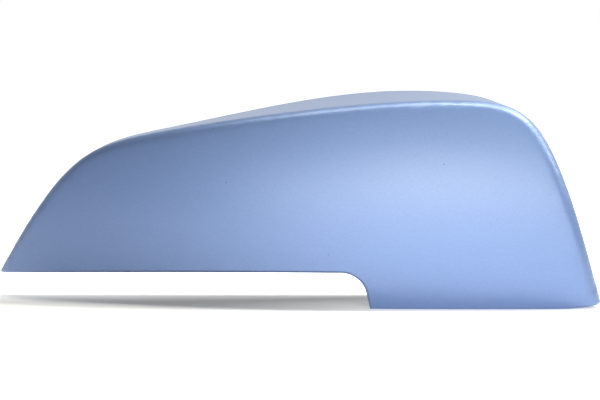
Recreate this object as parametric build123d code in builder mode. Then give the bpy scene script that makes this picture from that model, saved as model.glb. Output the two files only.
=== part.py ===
"""Wing mirror cover: a painted moulded cap for the back of a car's door mirror, in millimetres.

X runs from the outer tip to the inner end, Y from the nose of the cover back to its rim,
and Z is up. The origin is on the axis of the datum peg, at the middle of its fit.
"""

import os
from math import asin, degrees, radians, sin, sqrt

from build123d import *

# Reach of the cover from the datum peg
tip_reach = 110.6
inner_reach = 105.2
nose_reach = 52.0
rim_reach = 18.0
tip_drop = 29.6
lower_edge_drop = 37.2

# Outline seen from the front: the flank and brow, along X and up from the tip
flank_angle = 62.0
flank_run = 16.8
flank_rise = 26.5
brow_run = 35.0
brow_rise = 45.0
brow_end_run = 62.4
brow_end_rise = 53.6

# Outline seen from the front: the shoulder's height over the datum peg and at its peak
shoulder_height = 30.6
peak_x = 55.0
peak_height = 34.6

# Outline seen from the front: the inner corner, back from the inner end and down from the peak
corner_run = 28.6
corner_fall = 3.8
corner_end_run = 16.3
corner_end_fall = 21.1
inner_middle_run = 8.0
inner_middle_rise = 27.4
inner_lean = 73.5

# Rise of the top wall from the nose back to the rim, over the datum peg and at the peak
middle_flare = 3.1
peak_flare = 2.3

# Front face: swept back to the tip and a little to the inner end, crowned from top to bottom
tip_depth = 8.0
sweep_power = 2.5
nose_inset = 34.0
inner_sweep = 3.5
crown_radius = 95.0
crown_height = -6.0

# Wall, shoulder and lower edge
wall = 2.5
shoulder_radius = 5.0
edge_break = 0.7

# Lower edge: high and slightly bowed along the tip, then a step down to the inner end, where it lifts
tip_edge_bow = 1.5
step_x = 24.3
step_height = 12.6
step_lean = 77.0
step_radius = 9.0
lift_run = 16.0
lift_radius = 75.0

# Locating pegs on finned bosses that stand on the inside of the front face
peg_radius = 3.0
peg_fit = 12.0
peg_tip = 1.0
peg_spacing = 58.0
boss_radius = 5.0
fin_thickness = 1.4
fin_reach = 11.0
fin_setback = 8.0
fin_slope = 20.0

# Snap tabs under the top wall, each with two ramped gussets behind it
tab_places = (-50.0, 4.0, 56.0)
tab_width = 12.0
tab_drop = 7.0
tab_thickness = 2.0
tab_setback = 16.0
gusset_thickness = 1.5
gusset_length = 8.0

# Clip arms that reach back from the front face: two along the lower edge of the inner end,
# one above the lower edge of the tip, one beside the inner end wall and one in the tip
arm_thickness = 2.2
arm_width = 9.0
arm_barb = 2.0
arm_nose = 4.0
lower_arm_places = (44.0, 78.0)
lower_arm_lift = 8.0
lower_arm_end = -14.0
middle_arm_x = -34.0
middle_arm_lift = 20.6
middle_arm_end = 0.0
end_arm_inset = 16.4
end_arm_drop = 12.0
end_arm_end = -14.0
tip_arm_inset = 26.0
tip_arm_drop = 12.0
tip_arm_end = 11.0

# Overrun of the rough blocks past the trimmed edges, and how finely they follow their curves
overrun = 12.0
rear_overrun = 40.0
outline_steps = 30
face_stations = 8

cover_depth = nose_reach + rim_reach
block_low = -lower_edge_drop - overrun
block_front = -nose_reach - overrun
block_rear = rim_reach + rear_overrun


def outline_edge(y, inset):
    """Open outline of the skin at Y, inset, from below the tip over the top to below the inner end."""
    rise = (y + nose_reach) / cover_depth
    tip = Vector(-tip_reach, -tip_drop)
    peak = Vector(inner_reach, peak_height)
    inner = Vector(inner_reach, -lower_edge_drop)
    flank = Vector(1, 0).rotate(Axis.Z, flank_angle)
    lean = Vector(1, 0).rotate(Axis.Z, -inner_lean)
    edge = Spline(
        tip + flank * (block_low - tip.Y) / flank.Y,
        tip + Vector(flank_run, flank_rise),
        tip + Vector(brow_run, brow_rise),
        tip + Vector(brow_end_run, brow_end_rise),
        (0, shoulder_height + rise * middle_flare),
        (peak_x, peak_height + rise * peak_flare),
        peak - Vector(corner_run, corner_fall),
        peak - Vector(corner_end_run, corner_end_fall),
        inner + Vector(-inner_middle_run, inner_middle_rise),
        inner + lean * (block_low - inner.Y) / lean.Y,
        tangents=[flank, lean],
    )
    shares = [step / outline_steps for step in range(outline_steps + 1)]
    points = [edge @ share + (edge % share).rotate(Axis.Z, -90) * inset for share in shares]
    return Spline(*points, tangents=[flank, lean])


def face_y(x, z, inset):
    """Y of the front face at X and Z, moved inwards along its normal by the inset."""
    nose_x = inner_reach - nose_inset
    if x < nose_x:
        share = (nose_x - x) / (nose_x + tip_reach)
        depth = (cover_depth - tip_depth) * share**sweep_power
        slope = sweep_power * depth / (nose_x - x)
    else:
        share = (x - nose_x) / nose_inset
        depth = inner_sweep * share**2
        slope = 2 * inner_sweep * share / nose_inset
    height = z - crown_height
    root = sqrt(crown_radius**2 - height**2)
    crown = crown_radius - root
    return depth + crown - nose_reach + inset * sqrt(1 + slope**2 + (height / root) ** 2)


def rough_block(inset):
    """Solid block under the cover's skin, inset from it, that overruns the rim and lower edge."""
    heights = (block_low - overrun / 2, crown_height, peak_height + peak_flare + overrun)
    first_x = -tip_reach - 2 * overrun
    last_x = inner_reach + 2 * overrun
    with BuildPart() as face_block:
        for station in range(face_stations):
            x = first_x + (last_x - first_x) * station / (face_stations - 1)
            with BuildSketch(Plane.YZ.offset(x)):
                with BuildLine():
                    crown = ThreePointArc(*[(face_y(x, z, inset), z) for z in heights])
                    back = 2 * cover_depth
                    Polyline(crown @ 1, (back, heights[-1]), (back, heights[0]), crown @ 0)
                make_face()
        loft()
    with BuildPart() as block:
        for y in (block_front, block_rear + inset):
            edge = outline_edge(y, inset)
            with BuildSketch(Plane.XZ.offset(-y)):
                with BuildLine():
                    add(edge)
                    Line(edge @ 1, edge @ 0)
                make_face()
        loft(ruled=True)
        add(face_block.part, mode=Mode.INTERSECT)
        curved = block.faces().filter_by(GeomType.PLANE, reverse=True).sort_by(Axis.Y)
        shoulder = [edge for edge in curved[0].edges() if edge in curved[-1].edges()]
        fillet(shoulder, shoulder_radius - inset)
    return block.part


def wall_height(x, y):
    """Z of the top wall's inner side at X and Y."""
    crossing = outline_edge(y, wall).intersect(Line((x, 0), (x, 2 * peak_height)))
    return crossing.vertices()[0].Y


def locating_peg(x):
    """Peg on a boss with four fins, from ahead of the front face back to the peg's tip."""
    seat_y = -peg_fit / 2
    fin_y = seat_y - fin_setback
    with BuildPart() as peg:
        with BuildSketch(Plane.XY):
            with BuildLine():
                Polyline(
                    (0, block_front),
                    (boss_radius, block_front),
                    (boss_radius, seat_y),
                    (peg_radius, seat_y),
                    (peg_radius, peg_fit / 2),
                    (peg_radius - peg_tip, peg_fit / 2 + peg_tip),
                    (0, peg_fit / 2 + peg_tip),
                    close=True,
                )
            make_face()
        revolve(axis=Axis.Y)
        for turn in (0, 90):
            with BuildSketch(Plane.XY.rotated((0, turn, 0))):
                with BuildLine():
                    Polyline(
                        (-fin_reach, block_front),
                        (fin_reach, block_front),
                        (fin_reach, fin_y - fin_slope),
                        (boss_radius, fin_y),
                        (-boss_radius, fin_y),
                        (-fin_reach, fin_y - fin_slope),
                        close=True,
                    )
                make_face()
            extrude(amount=fin_thickness / 2, both=True)
    return peg.part.moved(Location((x, 0, 0)))


def snap_tab(x):
    """Tab that hangs from the top wall, with two ramped gussets between it and the rim."""
    front_y = rim_reach - tab_setback
    rear_y = front_y + tab_thickness
    wall_z = wall_height(x, front_y)
    low_z = wall_z - tab_drop
    top_z = wall_z + 2 * wall
    with BuildPart() as tab:
        with BuildSketch(Plane.YZ.offset(x)):
            with BuildLine():
                Polyline((front_y, top_z), (front_y, low_z), (rear_y, low_z), (rear_y, top_z), close=True)
            make_face()
        extrude(amount=tab_width / 2, both=True)
        for side in (-1, 1):
            with BuildSketch(Plane.YZ.offset(x + side * (tab_width - gusset_thickness) / 2)):
                with BuildLine():
                    Polyline(
                        (front_y, top_z),
                        (front_y, low_z),
                        (rear_y, low_z),
                        (rear_y + gusset_length, wall_z),
                        (rear_y + gusset_length, top_z),
                        close=True,
                    )
                make_face()
            extrude(amount=gusset_thickness / 2, both=True)
    return tab.part


def clip_arm(x, z, barb, end_y):
    """Clip arm from ahead of the front face back to end_y, with its barb to one side."""
    half = arm_thickness / 2
    catch_y = end_y - arm_nose
    with BuildPart() as arm:
        with BuildSketch(Plane(origin=(x, 0, z), x_dir=(0, 1, 0), z_dir=Vector(0, 1, 0).cross(barb))):
            with BuildLine():
                Polyline(
                    (block_front, -half),
                    (end_y, -half),
                    (end_y, 0),
                    (catch_y + arm_barb / 2, half + arm_barb),
                    (catch_y, half + arm_barb),
                    (catch_y, half),
                    (block_front, half),
                    close=True,
                )
            make_face()
        extrude(amount=arm_width / 2, both=True)
    return arm.part


inwards = Vector(-1, 0, 0)
outwards = Vector(1, 0, 0)
upwards = Vector(0, 0, 1)
moulded_inside = [
    *[locating_peg(x) for x in (0, peg_spacing)],
    *[snap_tab(x) for x in tab_places],
    *[clip_arm(x, lower_arm_lift - lower_edge_drop, upwards, lower_arm_end) for x in lower_arm_places],
    clip_arm(middle_arm_x, middle_arm_lift - lower_edge_drop, upwards, middle_arm_end),
    clip_arm(inner_reach - end_arm_inset, -end_arm_drop, inwards, end_arm_end),
    clip_arm(tip_arm_inset - tip_reach, -tip_arm_drop, outwards, tip_arm_end),
]
skin_block = rough_block(0)
hollow_block = rough_block(wall)

# The hollow: the skin inset by the wall, less everything that is moulded on its inside
with BuildPart() as hollow:
    add(hollow_block)
    add(moulded_inside, mode=Mode.SUBTRACT)

# The cover: the skin trimmed and chamfered at its lower edge, cut off at the rim and hollowed
with BuildPart() as mirror_cover:
    add(skin_block)
    with BuildSketch(Plane.XZ) as kept_side:
        with BuildLine():
            corner = Vector(step_x, -lower_edge_drop)
            rise = Vector(-1, 0).rotate(Axis.Z, -step_lean)
            knee = corner + rise * step_height / sin(radians(step_lean))
            tip = Vector(-tip_reach, -tip_drop)
            tip_end = tip - (knee - tip) * overrun / tip_reach
            above = Vector(0, 2 * tip_reach)
            lift_centre = Vector(inner_reach - lift_run, lift_radius - lower_edge_drop)
            SagittaArc(tip_end, knee, tip_edge_bow)
            lift_turn = degrees(asin((lift_run + overrun) / lift_radius))
            lift = CenterArc(lift_centre, lift_radius, -90, lift_turn)
            inner_end = lift @ 1
            Polyline(knee, corner, lift @ 0)
            Polyline(inner_end, inner_end + above, tip_end + above, tip_end)
        make_face()
        fillet(kept_side.vertices().sort_by_distance(knee)[0], step_radius)
    extrude(amount=2 * cover_depth, both=True, mode=Mode.INTERSECT)
    skin = mirror_cover.faces().filter_by(GeomType.BSPLINE).edges()
    *lower_faces, rear_face = mirror_cover.faces().filter_by(GeomType.BSPLINE, reverse=True).sort_by(Axis.Y)
    chamfer([edge for edge in ShapeList(lower_faces).edges() if edge in skin], edge_break)
    split(bisect_by=Plane.XZ.offset(-rim_reach), keep=Keep.TOP)
    add(hollow.part, mode=Mode.SUBTRACT)

os.makedirs("parts", exist_ok=True)
mirror_cover.part.label = "mirror_cover"
export_step(mirror_cover.part, "parts/mirror_cover.step")
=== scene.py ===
"""Wing mirror cover: the moulded shell in its satin blue paint, on a pale studio floor.

Everything is in metres and in the part's own frame: X runs from the outer tip to the inner end,
Y from the nose back to the rim, and Z is up.
"""

import math

import bmesh
import bpy
from bpy.props import FloatProperty, FloatVectorProperty, IntProperty, PointerProperty
from bpy.types import Operator, Panel, PropertyGroup
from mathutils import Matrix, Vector
from mathutils.kdtree import KDTree


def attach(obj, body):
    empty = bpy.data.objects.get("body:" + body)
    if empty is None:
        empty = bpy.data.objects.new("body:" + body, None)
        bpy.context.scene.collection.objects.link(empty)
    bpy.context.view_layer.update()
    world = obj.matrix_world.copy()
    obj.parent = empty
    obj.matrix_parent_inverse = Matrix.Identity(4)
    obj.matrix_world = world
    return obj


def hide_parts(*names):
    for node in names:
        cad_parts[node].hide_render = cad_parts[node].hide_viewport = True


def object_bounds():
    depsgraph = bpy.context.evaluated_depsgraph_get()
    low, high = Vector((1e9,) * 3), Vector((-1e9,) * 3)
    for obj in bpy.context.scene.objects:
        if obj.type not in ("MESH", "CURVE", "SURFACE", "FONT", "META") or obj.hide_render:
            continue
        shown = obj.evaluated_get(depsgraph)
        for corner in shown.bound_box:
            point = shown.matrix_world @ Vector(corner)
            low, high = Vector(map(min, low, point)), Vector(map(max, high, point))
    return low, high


bl_info = {
    "name": "Wing mirror cover",
    "version": (1, 0, 0),
    "blender": (4, 5, 0),
    "location": "3D View > Sidebar > Mirror Cover",
    "description": "Dresses the moulded mirror cover in paint and sets it on a studio floor",
    "category": "Object",
}

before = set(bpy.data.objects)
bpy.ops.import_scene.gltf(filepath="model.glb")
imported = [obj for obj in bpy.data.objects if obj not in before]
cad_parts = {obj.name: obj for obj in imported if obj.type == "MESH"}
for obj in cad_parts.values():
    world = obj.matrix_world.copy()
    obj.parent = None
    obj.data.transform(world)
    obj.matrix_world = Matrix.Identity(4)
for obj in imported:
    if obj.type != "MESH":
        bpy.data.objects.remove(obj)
cad_low, cad_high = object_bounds()

MM = 0.001
COVER_NODE = "mirror_cover"
PAINT_EDGE = "paint_edge"
PAINTED, BARE = 0, 1


class CoverShell(PropertyGroup):
    """Sizes of the shell's mesh and of its moulded edges."""

    seam: FloatProperty(
        name="Seam", description="Gap over which the solid's facets are joined",
        default=0.002 * MM, unit="LENGTH",
    )
    sliver: FloatProperty(
        name="Sliver", description="Edges shorter than this are closed up",
        default=0.02 * MM, unit="LENGTH",
    )
    flat_angle: FloatProperty(
        name="Flat angle", description="Turn between facets that counts as flat",
        default=math.radians(0.05), subtype="ANGLE",
    )
    sharp_angle: FloatProperty(
        name="Sharp angle", description="Turn between facets that shows as an edge",
        default=math.radians(32), subtype="ANGLE",
    )
    corner_angle: FloatProperty(
        name="Corner angle", description="Turn at which the skin ends",
        default=math.radians(45), subtype="ANGLE",
    )
    rib_angle: FloatProperty(
        name="Rib angle", description="Turn over which the edges inside are rounded",
        default=math.radians(62), subtype="ANGLE",
    )
    rim_round: FloatProperty(
        name="Rim round", description="Rounding of the skin's outer edges",
        default=0.5 * MM, unit="LENGTH",
    )
    rim_segments: IntProperty(
        name="Rim segments", description="Facets across the rounding of the skin's outer edges", default=3
    )
    rib_round: FloatProperty(
        name="Rib round", description="Rounding of the ribs and clips inside",
        default=0.25 * MM, unit="LENGTH",
    )
    rib_segments: IntProperty(
        name="Rib segments", description="Facets across the rounding of the ribs and clips", default=2
    )
    facet: FloatProperty(
        name="Facet", description="Longest side of a facet", default=3.0 * MM, unit="LENGTH"
    )
    fair_start: FloatProperty(
        name="Fairing start", description="Width of the skin's border that isn't faired",
        default=4.0 * MM, unit="LENGTH",
    )
    fair_passes: IntProperty(
        name="Fairing passes", description="Times that the facets of the skin are faired", default=6
    )
    fair_strength: FloatProperty(
        name="Fairing strength", description="Share of the way to its neighbours' middle that a point moves",
        default=0.5, subtype="FACTOR",
    )


class SatinPaint(PropertyGroup):
    """Colours and sizes of the paint."""

    colour: FloatVectorProperty(
        name="Colour", description="Light blue of the metal flakes",
        default=(0.157, 0.245, 0.472), subtype="COLOR",
    )
    roughness: FloatProperty(
        name="Roughness", description="Spread of the flakes' shine", default=0.64, subtype="FACTOR"
    )
    coat_roughness: FloatProperty(
        name="Lacquer roughness", description="Spread of the lacquer's shine", default=0.38, subtype="FACTOR"
    )
    flake: FloatProperty(
        name="Flake", description="Size of a flake", default=0.35 * MM, unit="LENGTH"
    )
    flake_spread: FloatProperty(
        name="Flake spread", description="Change of brightness between flakes",
        default=0.05, subtype="FACTOR",
    )
    peel: FloatProperty(
        name="Peel", description="Width of the paint's ripples", default=3.0 * MM, unit="LENGTH"
    )
    peel_depth: FloatProperty(
        name="Peel depth", description="Depth of the paint's ripples", default=0.02 * MM, unit="LENGTH"
    )
    peel_strength: FloatProperty(
        name="Peel strength", description="How much the ripples show", default=0.12, subtype="FACTOR"
    )
    speck_colour: FloatVectorProperty(
        name="Speck colour", description="Dark blue of the specks of dust",
        default=(0.09, 0.12, 0.19), subtype="COLOR",
    )
    speck_spacing: FloatProperty(
        name="Speck spacing", description="From one speck of dust to the next",
        default=9.0 * MM, unit="LENGTH",
    )
    speck_size: FloatProperty(
        name="Speck size", description="Radius of a speck of dust", default=0.25 * MM, unit="LENGTH"
    )


class BarePlastic(PropertyGroup):
    """Colours and sizes of the unpainted inside."""

    colour: FloatVectorProperty(
        name="Colour", description="Dark grey of the moulded plastic",
        default=(0.065, 0.066, 0.069), subtype="COLOR",
    )
    roughness: FloatProperty(
        name="Roughness", description="Spread of the plastic's shine", default=0.55, subtype="FACTOR"
    )
    grain: FloatProperty(
        name="Grain", description="Size of the mould's grain", default=0.6 * MM, unit="LENGTH"
    )
    grain_depth: FloatProperty(
        name="Grain depth", description="Depth of the mould's grain", default=0.05 * MM, unit="LENGTH"
    )
    grain_strength: FloatProperty(
        name="Grain strength", description="How much the grain shows", default=0.2, subtype="FACTOR"
    )
    overspray: FloatProperty(
        name="Overspray", description="How far paint mist reaches in from the edges",
        default=9.0 * MM, unit="LENGTH",
    )
    overspray_spread: FloatProperty(
        name="Overspray spread", description="Change of the mist's reach, as a share of it",
        default=0.4, subtype="FACTOR",
    )
    mist: FloatProperty(
        name="Mist", description="Share of paint in the mist beside the edges",
        default=0.85, subtype="FACTOR",
    )
    mist_patch: FloatProperty(
        name="Mist patch", description="Width of the mist's patches", default=4.5 * MM, unit="LENGTH"
    )


class Studio(PropertyGroup):
    """Camera, lights, room and floor."""

    distance: FloatProperty(
        name="Distance", description="From the camera to the cover's nose", default=1.0, unit="LENGTH"
    )
    elevation: FloatProperty(
        name="Elevation", description="Height angle of the camera", default=math.radians(3), subtype="ANGLE"
    )
    view_width: FloatProperty(
        name="View width", description="Width that the picture takes in at the nose",
        default=205.8 * MM, unit="LENGTH",
    )
    aim_height: FloatProperty(
        name="Aim height", description="Height of the picture's centre", default=1.0 * MM, unit="LENGTH"
    )
    lamp_colour: FloatVectorProperty(
        name="Lamp colour", description="Warm white of the lamps", default=(1.0, 0.96, 0.82), subtype="COLOR"
    )
    front_distance: FloatProperty(
        name="Front distance", description="From the nose to the front lights", default=1.1, unit="LENGTH"
    )
    front_angle: FloatProperty(
        name="Front angle", description="Turn of the front lights to the inner end",
        default=math.radians(1), subtype="ANGLE",
    )
    strip_height: FloatProperty(
        name="Strip height", description="Height of the front strip above the nose",
        default=0.185, unit="LENGTH",
    )
    strip_width: FloatProperty(
        name="Strip width", description="Width of the front strip", default=1.6, unit="LENGTH"
    )
    strip_depth: FloatProperty(
        name="Strip depth", description="Size of the front strip from top to bottom",
        default=0.35, unit="LENGTH",
    )
    strip_power: FloatProperty(
        name="Strip power", description="Power of the front strip", default=8.8, unit="POWER"
    )
    key_height: FloatProperty(
        name="Key height", description="Height of the key light above the nose", default=0.38, unit="LENGTH"
    )
    key_size: FloatProperty(
        name="Key size", description="Width of the key light", default=0.35, unit="LENGTH"
    )
    key_power: FloatProperty(
        name="Key power", description="Power of the key light", default=3.0, unit="POWER"
    )
    arch_radius: FloatProperty(
        name="Arch radius", description="From the nose to the arch of lamps over it",
        default=0.7, unit="LENGTH",
    )
    arch_back: FloatProperty(
        name="Arch back", description="From the nose back to the arch of lamps", default=0.08, unit="LENGTH"
    )
    arch_size: FloatProperty(
        name="Arch lamp", description="Width of an arch lamp", default=0.14, unit="LENGTH"
    )
    arch_angles: FloatVectorProperty(
        name="Arch angles", description="Places of the arch lamps, from overhead towards the inner end",
        default=[math.radians(angle) for angle in (-12, 8, 34, 60)], size=4, unit="ROTATION",
    )
    arch_powers: FloatVectorProperty(
        name="Arch powers", description="Powers of the arch lamps",
        default=(1.0, 2.0, 4.6, 1.2), size=4, unit="POWER",
    )
    sky_strength: FloatProperty(
        name="Ceiling", description="Strength of the bright ceiling", default=0.1
    )
    sky_spread: FloatProperty(
        name="Ceiling spread", description="Width of the bright ceiling",
        default=math.radians(50), subtype="ANGLE",
    )
    room_front: FloatProperty(
        name="Room in front", description="Brightness of the room before the cover", default=0.25
    )
    room_back: FloatProperty(
        name="Room behind", description="Brightness of the room behind the cover", default=1.0
    )
    back_start: FloatProperty(
        name="Back start", description="Backward share of the directions where the room starts to brighten",
        default=0.3, subtype="FACTOR",
    )
    back_end: FloatProperty(
        name="Back end", description="Backward share of the directions where the room is brightest",
        default=0.95, subtype="FACTOR",
    )
    dark_start: FloatProperty(
        name="Dark start", description="Height angle at which the room starts to darken",
        default=math.radians(10), subtype="ANGLE",
    )
    dark_end: FloatProperty(
        name="Dark end", description="Height angle from which the room is dark",
        default=math.radians(70), subtype="ANGLE",
    )
    floor_radius: FloatProperty(
        name="Floor radius", description="Radius of the floor", default=30.0, unit="LENGTH"
    )
    floor_sides: IntProperty(name="Floor sides", description="Sides of the round floor", default=64)
    floor_colour: FloatVectorProperty(
        name="Floor colour", description="Cool white of the floor",
        default=(0.82, 0.83, 0.88), subtype="COLOR",
    )
    floor_roughness: FloatProperty(
        name="Floor roughness", description="Spread of the floor's shine", default=0.9, subtype="FACTOR"
    )
    # The floor's glow is painted light: the floor gives off light though it is no lamp.
    glow_strength: FloatProperty(
        name="Glow", description="Strength of the floor's glow", default=1.0
    )
    # Painted shade: around these two spots the floor's glow is held back, so the floor is darker beside the
    # tip and past the inner end.
    tip_shade: FloatVectorProperty(
        name="Tip shade", description="Middle of the floor's shade at the tip",
        default=(-0.12, 0.05, cad_low.z), subtype="XYZ", unit="LENGTH",
    )
    inner_shade: FloatVectorProperty(
        name="Inner shade", description="Middle of the floor's shade past the inner end",
        default=(0.26, -0.05, cad_low.z), subtype="XYZ", unit="LENGTH",
    )
    shade_glow: FloatVectorProperty(
        name="Shade glow", description="Share of the glow that is left at the tip and past the inner end",
        default=(0.0, 0.35), size=2,
    )
    shade_start: FloatProperty(
        name="Shade start", description="From a shade's middle to where it starts to fade",
        default=0.1, unit="LENGTH",
    )
    shade_end: FloatProperty(
        name="Shade end", description="From a shade's middle to where it ends", default=0.27, unit="LENGTH"
    )
    # Painted light: towards the back the floor's glow rises to full, which washes out the cover's shadow on
    # the floor.
    shadow_fill_start: FloatProperty(
        name="Behind start", description="Y from which the shades weaken", default=-0.02, unit="LENGTH"
    )
    shadow_fill_end: FloatProperty(
        name="Behind end", description="Y from which the floor glows in full", default=0.05, unit="LENGTH"
    )


def add_node(tree, kind, **settings):
    """New shader node with its settings and input values."""
    node = tree.nodes.new(kind)
    for name, value in settings.items():
        if name in node.inputs:
            node.inputs[name].default_value = value
        else:
            setattr(node, name, value)
    return node


def add_range(tree, value, ends=(0.0, 1.0), results=(0.0, 1.0), interpolation="SMOOTHSTEP"):
    """Map Range node that takes a value from between its ends to between the results."""
    node = add_node(tree, "ShaderNodeMapRange", interpolation_type=interpolation)
    for name, number in zip(("From Min", "From Max", "To Min", "To Max"), (*ends, *results)):
        node.inputs[name].default_value = number
    tree.links.new(value, node.inputs["Value"])
    return node


def add_cells(tree, size):
    """Cell pattern over a piece with cells of the given size, and how many lie along a metre."""
    place = add_node(tree, "ShaderNodeTexCoord")
    pitch = add_node(tree, "ShaderNodeMath", operation="DIVIDE")
    pitch.inputs[0].default_value = 1.0
    cells = add_node(tree, "ShaderNodeTexVoronoi", feature="F1")
    tree.links.new(size, pitch.inputs[1])
    tree.links.new(place.outputs["Object"], cells.inputs["Vector"])
    tree.links.new(pitch.outputs[0], cells.inputs["Scale"])
    return cells, pitch.outputs[0]


def new_group(name, inputs, outputs):
    """New shader node group with lengths as inputs and values as outputs."""
    tree = bpy.data.node_groups.new(name, "ShaderNodeTree")
    for label, length in inputs.items():
        socket = tree.interface.new_socket(label, in_out="INPUT", socket_type="NodeSocketFloat")
        socket.default_value = length
    for label in outputs:
        tree.interface.new_socket(label, in_out="OUTPUT", socket_type="NodeSocketFloat")
    return tree, tree.nodes.new("NodeGroupInput"), tree.nodes.new("NodeGroupOutput")


def dust_group():
    """Sparse specks of dust in a surface: a mask that is 1 on a speck."""
    tree, given, result = new_group("dust_specks", {"Spacing": 9 * MM, "Size": 0.25 * MM}, ["Mask"])
    cells, pitch = add_cells(tree, given.outputs["Spacing"])
    reach = add_node(tree, "ShaderNodeMath", operation="MULTIPLY")
    near = add_node(tree, "ShaderNodeMath", operation="LESS_THAN")
    tree.links.new(given.outputs["Size"], reach.inputs[0])
    tree.links.new(pitch, reach.inputs[1])
    tree.links.new(cells.outputs["Distance"], near.inputs[0])
    tree.links.new(reach.outputs[0], near.inputs[1])
    tree.links.new(near.outputs[0], result.inputs["Mask"])
    return tree


def grain_group():
    """Fine grain: a value from 0 to 1 for each grain, and a height that rises from the grain's middle."""
    tree, given, result = new_group("fine_grain", {"Size": 0.5 * MM}, ["Value", "Height"])
    cells, _ = add_cells(tree, given.outputs["Size"])
    split = add_node(tree, "ShaderNodeSeparateColor")
    tree.links.new(cells.outputs["Color"], split.inputs["Color"])
    tree.links.new(split.outputs["Red"], result.inputs["Value"])
    tree.links.new(cells.outputs["Distance"], result.inputs["Height"])
    return tree


def shared_group(name, make):
    """The named node group, made the first time that it is asked for."""
    return bpy.data.node_groups.get(name) or make()


def new_material(name):
    """New material with its node tree and its Principled shader."""
    material = bpy.data.materials.new(name)
    material.use_nodes = True
    return material, material.node_tree, material.node_tree.nodes["Principled BSDF"]


def mix_sockets(node):
    """Factor, both colours and the result of a colour Mix node."""
    factor = next(socket for socket in node.inputs if socket.identifier == "Factor_Float")
    first = next(socket for socket in node.inputs if socket.identifier == "A_Color")
    second = next(socket for socket in node.inputs if socket.identifier == "B_Color")
    mixed = next(socket for socket in node.outputs if socket.identifier == "Result_Color")
    return factor, first, second, mixed


def satin_paint(paint):
    """Light blue metallic paint under a satin lacquer, with fine flakes, faint ripples and a few specks."""
    material, tree, shader = new_material("satin_blue_paint")
    links = tree.links
    shader.inputs["Metallic"].default_value = 1.0
    shader.inputs["Roughness"].default_value = paint.roughness
    shader.inputs["Coat Weight"].default_value = 1.0
    shader.inputs["Coat Roughness"].default_value = paint.coat_roughness

    flakes = add_node(tree, "ShaderNodeGroup", node_tree=shared_group("fine_grain", grain_group))
    flakes.inputs["Size"].default_value = paint.flake
    brightness = (1 - paint.flake_spread, 1 + paint.flake_spread)
    dimmer = add_range(tree, flakes.outputs["Value"], results=brightness, interpolation="LINEAR")
    tone = add_node(tree, "ShaderNodeVectorMath", operation="SCALE")
    tone.inputs[0].default_value = paint.colour
    links.new(dimmer.outputs["Result"], tone.inputs["Scale"])

    specks = add_node(tree, "ShaderNodeGroup", node_tree=shared_group("dust_specks", dust_group))
    specks.inputs["Spacing"].default_value = paint.speck_spacing
    specks.inputs["Size"].default_value = paint.speck_size
    speckled = add_node(tree, "ShaderNodeMix", data_type="RGBA")
    factor, first, second, mixed = mix_sockets(speckled)
    second.default_value = (*paint.speck_colour, 1)
    links.new(specks.outputs["Mask"], factor)
    links.new(tone.outputs["Vector"], first)
    links.new(mixed, shader.inputs["Base Color"])

    place = add_node(tree, "ShaderNodeTexCoord")
    ripples = add_node(tree, "ShaderNodeTexNoise", Scale=1 / paint.peel, Detail=2.0)
    bump = add_node(tree, "ShaderNodeBump", Strength=paint.peel_strength, Distance=paint.peel_depth)
    links.new(place.outputs["Object"], ripples.inputs["Vector"])
    links.new(ripples.outputs["Fac"], bump.inputs["Height"])
    links.new(bump.outputs["Normal"], shader.inputs["Normal"])
    return material


def bare_plastic(plastic, paint):
    """Dark moulded plastic with a fine grain, misted with paint near the painted edges."""
    material, tree, shader = new_material("bare_plastic")
    links = tree.links
    shader.inputs["Roughness"].default_value = plastic.roughness

    place = add_node(tree, "ShaderNodeTexCoord")
    drift = add_node(tree, "ShaderNodeTexNoise", Scale=1 / plastic.mist_patch, Detail=6.0, Roughness=0.65)
    links.new(place.outputs["Object"], drift.inputs["Vector"])
    reaches = [plastic.overspray * (1 + side * plastic.overspray_spread) for side in (-1, 1)]
    reach = add_range(tree, drift.outputs["Fac"], results=reaches, interpolation="LINEAR")
    distance = add_node(tree, "ShaderNodeAttribute", attribute_name=PAINT_EDGE)
    mist = add_range(tree, distance.outputs["Fac"], results=(plastic.mist, 0.0))
    links.new(reach.outputs["Result"], mist.inputs["From Max"])

    colour = add_node(tree, "ShaderNodeMix", data_type="RGBA")
    factor, first, second, mixed = mix_sockets(colour)
    first.default_value = (*plastic.colour, 1)
    second.default_value = (*paint.colour, 1)
    links.new(mist.outputs["Result"], factor)
    links.new(mixed, shader.inputs["Base Color"])

    grain = add_node(tree, "ShaderNodeGroup", node_tree=shared_group("fine_grain", grain_group))
    grain.inputs["Size"].default_value = plastic.grain
    bump = add_node(tree, "ShaderNodeBump", Strength=plastic.grain_strength, Distance=plastic.grain_depth)
    links.new(grain.outputs["Height"], bump.inputs["Height"])
    links.new(bump.outputs["Normal"], shader.inputs["Normal"])
    return material


def joined_solid(shell):
    """Copy of the moulded solid's mesh, with its facets joined and no edges across its flats."""
    bm = bmesh.new()
    bm.from_mesh(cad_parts[COVER_NODE].data)
    bmesh.ops.remove_doubles(bm, verts=bm.verts, dist=shell.seam)
    bmesh.ops.dissolve_limit(
        bm, angle_limit=shell.flat_angle, verts=bm.verts, edges=bm.edges, use_dissolve_boundaries=False
    )
    return bm


def skin_faces(bm, corner_angle):
    """Faces of the skin: all that joins the foremost facet without turning a corner.

    An edge that hasn't two faces counts as a corner.
    """
    nose = min(bm.verts, key=lambda vertex: vertex.co.y)
    found = set(nose.link_faces)
    waiting = list(found)
    while waiting:
        for edge in waiting.pop().edges:
            if edge.calc_face_angle(math.pi) < corner_angle:
                fresh = [face for face in edge.link_faces if face not in found]
                found.update(fresh)
                waiting.extend(fresh)
    return found


def paint_skin(bm, corner_angle):
    """Paint the skin and the faces beside it, leave the rest bare, and return the skin's outer edges."""
    skin = skin_faces(bm, corner_angle)
    border = [edge for edge in bm.edges if len(skin & set(edge.link_faces)) == 1]
    painted = skin.union(*(edge.link_faces for edge in border))
    for face in bm.faces:
        face.smooth = True
        face.material_index = PAINTED if face in painted else BARE
    return border


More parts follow.
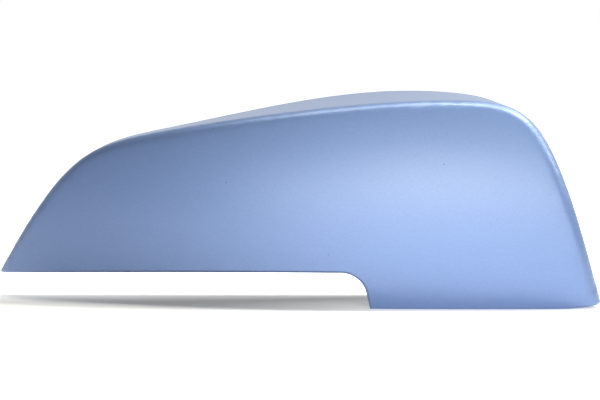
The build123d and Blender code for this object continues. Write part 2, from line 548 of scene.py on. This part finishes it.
def rib_edges(bm, rib_angle):
    """Outer edges of all that is moulded on the bare inside."""
    return [
        edge
        for edge in bm.edges
        if edge.is_convex
        and edge.calc_face_angle(0.0) > rib_angle
        and all(face.material_index == BARE for face in edge.link_faces)
    ]


def round_edges(bm, edges, radius, segments):
    """Round the edges by a bevel."""
    bmesh.ops.bevel(
        bm, geom=edges, offset=radius, offset_type="OFFSET", affect="EDGES", segments=segments, profile=0.5,
        material=-1, clamp_overlap=True,
    )


def refine(bm, longest):
    """Make triangles, and halve the edges that are longer than the limit."""
    bmesh.ops.triangulate(bm, faces=[face for face in bm.faces if len(face.verts) > 3])
    halvings = math.ceil(math.log2(max(edge.calc_length() for edge in bm.edges) / longest))
    for _ in range(halvings):
        long_edges = [edge for edge in bm.edges if edge.calc_length() > longest]
        bmesh.ops.subdivide_edges(bm, edges=long_edges, cuts=1)
        cut_faces = [face for face in bm.faces if len(face.verts) > 3]
        bmesh.ops.triangulate(bm, faces=cut_faces, quad_method="SHORT_EDGE")


def mark_paint_edge(bm):
    """Note on every point how far it is from the nearest painted edge, and return the layer of notes."""
    border = [vertex for vertex in bm.verts if len({face.material_index for face in vertex.link_faces}) == 2]
    tree = KDTree(len(border))
    for index, vertex in enumerate(border):
        tree.insert(vertex.co, index)
    tree.balance()
    distance = bm.verts.layers.float.new(PAINT_EDGE)
    for vertex in bm.verts:
        vertex[distance] = tree.find(vertex.co)[2]
    return distance


def fair_skin(bm, distance, shell):
    """Even out the facets of the painted skin, apart from a strip along its edges."""
    free = [
        vertex
        for vertex in bm.verts
        if vertex[distance] > shell.fair_start
        and all(face.material_index == PAINTED for face in vertex.link_faces)
    ]
    for _ in range(shell.fair_passes):
        bmesh.ops.smooth_vert(
            bm, verts=free, factor=shell.fair_strength, use_axis_x=True, use_axis_y=True, use_axis_z=True
        )


class COVER_OT_shell(Operator):
    """Make the painted shell from the moulded solid"""

    bl_idname = "cover.shell"
    bl_label = "Painted Shell"

    def execute(self, context):
        scene = context.scene
        shell = scene.cover_shell
        bm = joined_solid(shell)
        border = paint_skin(bm, shell.corner_angle)
        round_edges(bm, border, shell.rim_round, shell.rim_segments)
        ribs = rib_edges(bm, shell.rib_angle)
        round_edges(bm, ribs, shell.rib_round, shell.rib_segments)
        bmesh.ops.dissolve_degenerate(bm, dist=shell.sliver, edges=bm.edges)
        refine(bm, shell.facet)
        for edge in bm.edges:
            edge.smooth = edge.calc_face_angle(0.0) < shell.sharp_angle
        distance = mark_paint_edge(bm)
        fair_skin(bm, distance, shell)
        mesh = bpy.data.meshes.new("painted_cover")
        bm.to_mesh(mesh)
        bm.free()
        mesh.materials.append(satin_paint(scene.satin_paint))
        mesh.materials.append(bare_plastic(scene.bare_plastic, scene.satin_paint))
        cover = bpy.data.objects.new("painted_cover", mesh)
        shading = cover.modifiers.new("weighted_normals", "WEIGHTED_NORMAL")
        shading.mode = "FACE_AREA_WITH_ANGLE"
        shading.keep_sharp = True
        context.collection.objects.link(cover)
        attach(cover, "root")
        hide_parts(COVER_NODE)
        return {"FINISHED"}


def floor_material(studio):
    """Matt white floor with a painted glow: full behind the cover, where it washes out the cover's shadow,
    and with painted shade ahead of each end of the cover.
    """
    material, tree, shader = new_material("pale_floor")
    links = tree.links
    shader.inputs["Base Color"].default_value = (*studio.floor_colour, 1)
    shader.inputs["Roughness"].default_value = studio.floor_roughness
    shader.inputs["Specular IOR Level"].default_value = 0.0
    shader.inputs["Emission Strength"].default_value = studio.glow_strength

    place = add_node(tree, "ShaderNodeTexCoord")
    # Painted shade: the glow is held back around a spot at the tip and, in part, past the inner end.
    ahead = add_node(tree, "ShaderNodeMath", operation="MULTIPLY")
    fade = (studio.shade_start, studio.shade_end)
    for index, centre in enumerate((studio.tip_shade, studio.inner_shade)):
        reach = add_node(tree, "ShaderNodeVectorMath", operation="DISTANCE")
        reach.inputs[1].default_value = centre
        links.new(place.outputs["Object"], reach.inputs[0])
        glow = add_range(tree, reach.outputs["Value"], fade, (studio.shade_glow[index], 1.0))
        links.new(glow.outputs["Result"], ahead.inputs[index])

    axes = add_node(tree, "ShaderNodeSeparateXYZ")
    links.new(place.outputs["Object"], axes.inputs["Vector"])
    # Painted light: the floor glows in full behind the cover, where this fills in the cover's shadow.
    behind = add_range(tree, axes.outputs["Y"], (studio.shadow_fill_start, studio.shadow_fill_end))
    brightest = add_node(tree, "ShaderNodeMath", operation="MAXIMUM")
    links.new(ahead.outputs[0], brightest.inputs[0])
    links.new(behind.outputs["Result"], brightest.inputs[1])
    links.new(brightest.outputs[0], shader.inputs["Emission Color"])
    return material


def add_floor(context, studio):
    """Round floor under the cover's lowest edge."""
    bm = bmesh.new()
    bmesh.ops.create_circle(bm, cap_ends=True, segments=studio.floor_sides, radius=studio.floor_radius)
    bmesh.ops.translate(bm, verts=bm.verts, vec=(0, 0, cad_low.z))
    mesh = bpy.data.meshes.new("floor")
    bm.to_mesh(mesh)
    bm.free()
    mesh.materials.append(floor_material(studio))
    floor = bpy.data.objects.new("floor", mesh)
    context.collection.objects.link(floor)


def aim(thing, target):
    """Turn a camera or light to face the target."""
    thing.rotation_euler = (target - thing.location).to_track_quat("-Z", "Y").to_euler()


def add_camera(context, studio, nose):
    """Camera ahead of the nose, at the photo's angle."""
    view = Vector((0, -math.cos(studio.elevation), math.sin(studio.elevation)))
    camera = bpy.data.objects.new("camera", bpy.data.cameras.new("camera"))
    camera.data.lens = camera.data.sensor_width * studio.distance / studio.view_width
    camera.location = nose + view * studio.distance
    aim(camera, nose)
    context.collection.objects.link(camera)
    context.scene.camera = camera


def softbox(context, name, place, target, width, height, power):
    """Oval soft light at a place, turned to the target."""
    light = bpy.data.objects.new(name, bpy.data.lights.new(name, "AREA"))
    light.data.shape = "ELLIPSE"
    light.data.size = width
    light.data.size_y = height
    light.data.energy = power
    light.data.color = context.scene.studio.lamp_colour
    light.location = place
    light.visible_camera = False
    aim(light, target)
    context.collection.objects.link(light)


def add_lights(context, studio, nose):
    """Strip and key light in front, an arch of lamps over the cover and a faint bright ceiling."""
    ahead = Vector((math.sin(studio.front_angle), -math.cos(studio.front_angle), 0)) * studio.front_distance
    strip_place = nose + ahead + Vector((0, 0, studio.strip_height))
    key_place = nose + ahead + Vector((0, 0, studio.key_height))
    softbox(
        context, "front_strip", strip_place, nose, studio.strip_width, studio.strip_depth, studio.strip_power
    )
    softbox(context, "key_light", key_place, nose, studio.key_size, studio.key_size, studio.key_power)
    for angle, power in zip(studio.arch_angles, studio.arch_powers):
        place = nose + Vector((math.sin(angle), 0, math.cos(angle))) * studio.arch_radius
        place.y += studio.arch_back
        softbox(context, "arch_lamp", place, nose, studio.arch_size, studio.arch_size, power)
    ceiling = bpy.data.objects.new("ceiling", bpy.data.lights.new("ceiling", "SUN"))
    ceiling.data.energy = studio.sky_strength
    ceiling.data.angle = studio.sky_spread
    context.collection.objects.link(ceiling)


def studio_room(studio):
    """World that is bright behind the cover, dimmer in front of it and dark overhead."""
    world = bpy.data.worlds.new("studio_room")
    world.use_nodes = True
    tree = world.node_tree
    background = tree.nodes["Background"]
    background.inputs["Color"].default_value = (1, 1, 1, 1)
    direction = add_node(tree, "ShaderNodeTexCoord")
    axes = add_node(tree, "ShaderNodeSeparateXYZ")
    tree.links.new(direction.outputs["Generated"], axes.inputs["Vector"])
    back = (studio.back_start, studio.back_end)
    side = add_range(tree, axes.outputs["Y"], back, (studio.room_front, studio.room_back))
    heights = (math.sin(studio.dark_start), math.sin(studio.dark_end))
    fade = add_range(tree, axes.outputs["Z"], heights, (1.0, 0.0))
    strength = add_node(tree, "ShaderNodeMath", operation="MULTIPLY")
    tree.links.new(side.outputs["Result"], strength.inputs[0])
    tree.links.new(fade.outputs["Result"], strength.inputs[1])
    tree.links.new(strength.outputs[0], background.inputs["Strength"])
    return world


class COVER_OT_studio(Operator):
    """Set up the floor, the camera, the lights and the room"""

    bl_idname = "cover.studio"
    bl_label = "Studio"

    def execute(self, context):
        scene = context.scene
        studio = scene.studio
        nose = Vector((0, cad_low.y, studio.aim_height))
        add_floor(context, studio)
        add_camera(context, studio, nose)
        add_lights(context, studio, nose)
        scene.world = studio_room(studio)
        scene.view_settings.view_transform = "Standard"
        return {"FINISHED"}


class COVER_PT_panel(Panel):
    """Lists the steps that dress the mirror cover"""

    bl_idname = "COVER_PT_panel"
    bl_label = "Mirror Cover"
    bl_space_type = "VIEW_3D"
    bl_region_type = "UI"
    bl_category = "Mirror Cover"

    def draw(self, context):
        for step in STEPS:
            self.layout.operator(step.bl_idname)


SETTINGS = {
    "cover_shell": CoverShell,
    "satin_paint": SatinPaint,
    "bare_plastic": BarePlastic,
    "studio": Studio,
}
STEPS = (COVER_OT_shell, COVER_OT_studio)
CLASSES = (*SETTINGS.values(), *STEPS, COVER_PT_panel)


def register():
    for cls in CLASSES:
        bpy.utils.register_class(cls)
    for name, group in SETTINGS.items():
        setattr(bpy.types.Scene, name, PointerProperty(type=group))


def unregister():
    for name in SETTINGS:
        delattr(bpy.types.Scene, name)
    for cls in reversed(CLASSES):
        bpy.utils.unregister_class(cls)


def main():
    register()
    bpy.ops.cover.shell()
    bpy.ops.cover.studio()


if __name__ == "__main__":
    main()
